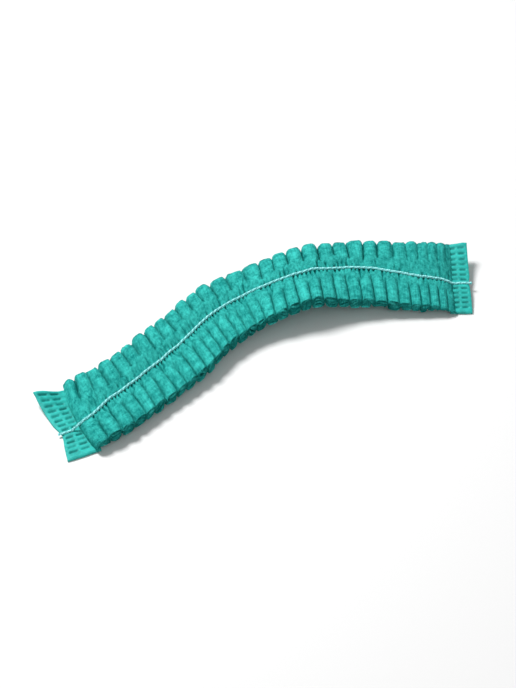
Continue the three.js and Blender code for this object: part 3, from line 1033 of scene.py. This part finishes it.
def thread_tree(material):
    """Two plies twisted round each other along a line."""
    nodes, sizes = geometry_tree("Twisted thread", THREAD_SIZES)
    line = nodes.add("GeometryNodeMeshToCurve", inputs={"Mesh": sizes["Geometry"]})
    even = nodes.add(
        "GeometryNodeResampleCurve", {"mode": "LENGTH"}, {"Curve": line, "Length": sizes["Step"]}
    )
    plies = nodes.add(
        "GeometryNodeDuplicateElements", {"domain": "SPLINE"}, {"Geometry": even, "Amount": 2}
    )
    length = nodes.add("GeometryNodeSplineParameter", output="Length")
    which = plies.output("Duplicate Index")
    turn = length * (2 * math.pi) / sizes["Twist Length"] + which * math.pi
    tangent = nodes.add("GeometryNodeInputTangent")
    side = nodes.vector("NORMALIZE", nodes.vector("CROSS_PRODUCT", (0, 0, 1), tangent))
    up = nodes.vector("CROSS_PRODUCT", tangent, side)
    offset = nodes.vector(
        "ADD",
        scaled(nodes, side, nodes.math("COSINE", turn) * sizes["Ply Offset"]),
        scaled(nodes, up, nodes.math("SINE", turn) * sizes["Ply Offset"]),
    )
    twisted = nodes.add(
        "GeometryNodeSetPosition", inputs={"Geometry": plies, "Offset": offset}
    )
    swell = nodes.ripple(nodes.xyz(length * 900.0, which * 7.0, 0.0), 1.0, 1.0)
    radius = sizes["Ply Radius"] + swell * sizes["Strands"]
    stored = nodes.add(
        "GeometryNodeStoreNamedAttribute",
        {"data_type": "FLOAT", "domain": "POINT"},
        {"Geometry": twisted, "Name": "run", "Value": length},
    )
    circle = nodes.add("GeometryNodeCurvePrimitiveCircle", inputs={"Resolution": 8, "Radius": 1.0})
    around = nodes.add("GeometryNodeSplineParameter", output="Factor")
    profile = nodes.add(
        "GeometryNodeStoreNamedAttribute",
        {"data_type": "FLOAT", "domain": "POINT"},
        {"Geometry": circle, "Name": "around", "Value": around},
    )
    tube = nodes.add(
        "GeometryNodeCurveToMesh",
        inputs={"Curve": stored, "Profile Curve": profile, "Scale": radius, "Fill Caps": True},
    )
    end_tree(nodes, nodes.add("GeometryNodeSetShadeSmooth", inputs={"Geometry": tube}), material)
    return nodes.tree


def wander(s, seed):
    """A thread's small swings to either side, in metres."""
    swing = Vector((s / (7 * mm), seed, SEED))
    return 0.4 * mm * noise.noise(swing) + 0.3 * mm * noise.noise(3 * swing)


def valley_height(s):
    """Height of the topmost pleat over the strip's base, in the valley along its middle."""
    source = s
    for _ in range(12):
        opened = openness(source)
        nose = 4 * opened * (1 - opened) * NOSE
        source = s + (nose if s < STRIP_LENGTH / 2 else -nose)
    opened = openness(source)
    return middle_height(source) + half_stack(source) - (VALLEY + CREST_DROP) * rib_share(opened)


def upper_line():
    """Where the upper elastic runs: over both welds and along the valley between them."""
    points = []
    s = THREAD_ENDS["left"]
    while s <= STRIP_LENGTH - THREAD_ENDS["right"]:
        inside = clamp(s, 0, STRIP_LENGTH)
        nearby = [(step, valley_height(inside + step * mm)) for step in range(-4, 5)]
        taut = max(height - 0.75 * abs(step) * mm for step, height in nearby)
        height = max(taut, WELD_THICKNESS) + 0.3 * THREAD
        points.append(on_strip(s, elastic_offset_at(s) + wander(s, 1.0), height))
        s += 1 * mm
    return points


def lower_line():
    """Where the lower elastic runs: under the lowest pleat, from weld to weld."""
    points = []
    s = WELD_FLAT["left"]
    while s <= STRIP_LENGTH - WELD_FLAT["right"]:
        valley = (VALLEY + CREST_DROP) * rib_share(openness(s))
        height = middle_height(s) - half_stack(s) + valley - 0.3 * THREAD
        point = on_strip(s, elastic_offset_at(s) + wander(s, 5.0), height)
        points.append(Vector((point.x, point.y, max(point.z, THREAD / 2))))
        s += 1 * mm
    return points


def elastics(material):
    tree = thread_tree(material)
    for name, line in [("upper_thread", upper_line()), ("lower_thread", lower_line())]:
        piece = grow(name, polyline(name + "_line", line), tree, {})
        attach(piece, "root")
        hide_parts(name.replace("thread", "elastic"))


# ---- Scene -----------------------------------------------------------------------------------


def look_at(obj, target):
    obj.rotation_euler = (target - obj.location).to_track_quat("-Z", "Y").to_euler()


def studio():
    """A plain pale floor, soft light and the camera."""
    middle = Vector((0, 0, 6 * mm))
    floor_mesh = bpy.data.meshes.new("floor")
    reach = 3.0
    corners = [(-reach, -reach, 0), (reach, -reach, 0), (reach, reach, 0), (-reach, reach, 0)]
    floor_mesh.from_pydata(corners, [], [(0, 1, 2, 3)])
    floor_mesh.materials.append(floor_material())
    floor = bpy.data.objects.new("floor", floor_mesh)
    bpy.context.collection.objects.link(floor)

    for name, place, size, power in [
        ("key_light", (-0.45, 0.3, 0.9), 0.4, 13.0),
        ("front_light", (0.3, -0.9, 0.7), 0.9, 2.0),
    ]:
        data = bpy.data.lights.new(name, "AREA")
        data.shape = "DISK"
        data.size = size
        data.energy = power
        lamp = bpy.data.objects.new(name, data)
        lamp.location = place
        look_at(lamp, middle)
        bpy.context.collection.objects.link(lamp)

    world = bpy.data.worlds.new("soft_room")
    world.use_nodes = True
    world.node_tree.nodes["Background"].inputs["Color"].default_value = (1, 1, 1, 1)
    world.node_tree.nodes["Background"].inputs["Strength"].default_value = 0.33
    scene = bpy.context.scene
    scene.world = world
    scene.view_settings.view_transform = "Standard"

    elevation = math.radians(40)
    distance = 0.95
    data = bpy.data.cameras.new("camera")
    data.sensor_fit = "HORIZONTAL"
    data.lens = 150
    camera = bpy.data.objects.new("camera", data)
    camera.location = middle + distance * Vector((0, -math.cos(elevation), math.sin(elevation)))
    look_at(camera, middle)
    bpy.context.collection.objects.link(camera)
    scene.camera = camera


def way_object():
    """The strip's way as an edge chain that carries at every point the ribs' direction, the
    roll, the lift and the elastics' place across the strip."""
    mesh = polyline("strip_way", WAY)
    steps = [i * WAY_STEP for i in range(len(WAY))]
    to_side = mesh.attributes.new("to_side", "FLOAT_VECTOR", "POINT")
    to_side.data.foreach_set("vector", [part for s in steps for part in side_at(s)])
    roll = mesh.attributes.new("roll", "FLOAT", "POINT")
    roll.data.foreach_set("value", [roll_at(s) for s in steps])
    lift = mesh.attributes.new("lift", "FLOAT", "POINT")
    lift.data.foreach_set("value", [lift_at(s) for s in steps])
    elastic_offset = mesh.attributes.new("elastic_offset", "FLOAT", "POINT")
    elastic_offset.data.foreach_set("value", [elastic_offset_at(s) for s in steps])
    way = bpy.data.objects.new("strip_way", mesh)
    bpy.context.collection.objects.link(way)
    return way


def build():
    fabric = non_woven_fabric()
    way = way_object()
    pleated_web(fabric, way)
    welded_ends(welded_fabric(), way)
    elastics(elastic_thread())
    bpy.data.objects.remove(way)


studio()
build()
